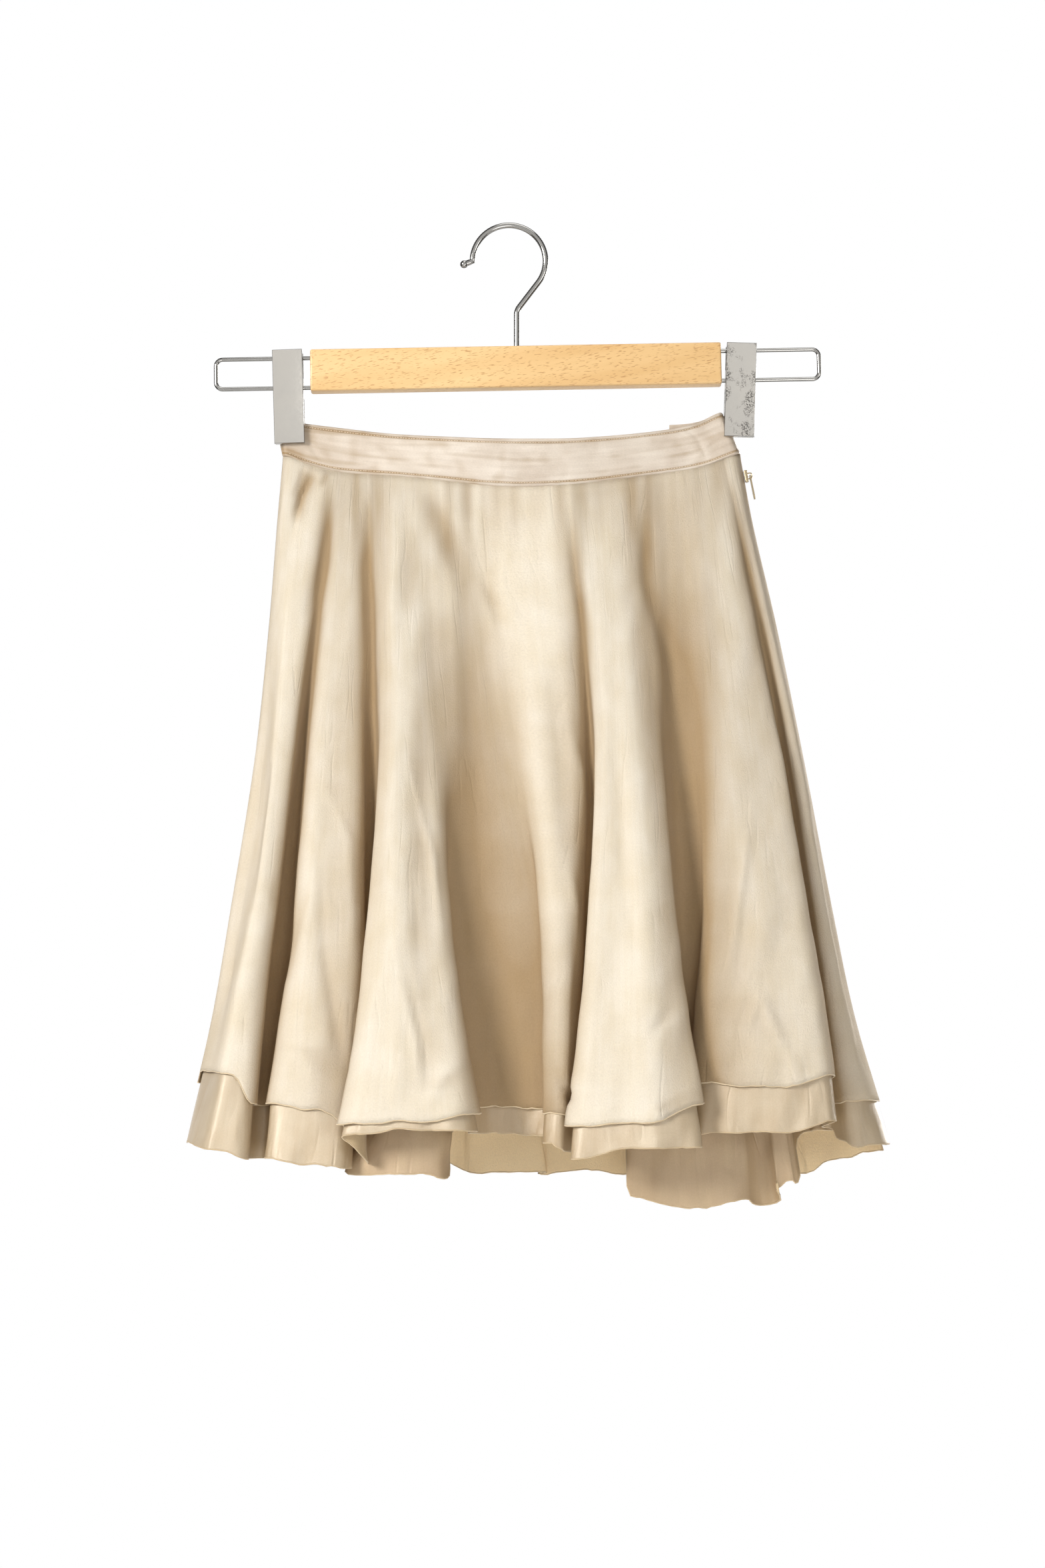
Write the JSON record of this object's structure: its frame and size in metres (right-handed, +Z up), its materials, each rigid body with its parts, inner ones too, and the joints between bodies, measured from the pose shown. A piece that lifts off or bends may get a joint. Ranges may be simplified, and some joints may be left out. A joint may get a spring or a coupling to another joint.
{
  "type": "mini skirt on clip hanger",
  "caption": "Layered flared mini skirt with a satin waistband and side zip, hung by its waistband from a wooden clip hanger.",
  "frame": {"origin": "the inner top of the hook, where it rests on its rail", "axes": "+Z up, +X to the right seen from the front, the front faces -Y"},
  "size_m": [0.4584, 0.1381, 0.6568],
  "materials": {
    "chiffon": "matte crepe chiffon",
    "satin": "soft sheen satin",
    "lining": "satin with a grainy wrong side",
    "beech": "oiled beech",
    "chrome": "bright plate with slight tarnish",
    "nickel": "plated"
  },
  "bodies": {
    "skirt_and_hanger": {"waistband_front": "satin", "waistband_back": "satin", "waistband_underlap": "satin", "chiffon_front": "chiffon", "chiffon_back": "chiffon", "satin_front": "satin", "satin_back": "satin", "lining_front": "lining", "lining_back": "lining", "zip_slider": "nickel", "hanger_bar": "beech", "hanger_hook": "chrome", "wire_loop_left": "chrome", "wire_loop_right": "chrome", "clip_left_front": "chrome", "clip_left_back": "chrome", "clip_right_front": "chrome", "clip_right_back": "chrome", "clip_spring_left": "chrome", "clip_spring_right": "chrome"},
    "zip_pull_tab": {"zip_pull": "nickel"}
  },
  "joints": [
    {"name": "zip_pull_hinge", "type": "hinge", "parent": "skirt_and_hanger", "child": "zip_pull_tab", "pos_m": [0.16073, 0, -0.16937], "axis": [0, -1, 0], "range_deg": [0, 150]}
  ]
}
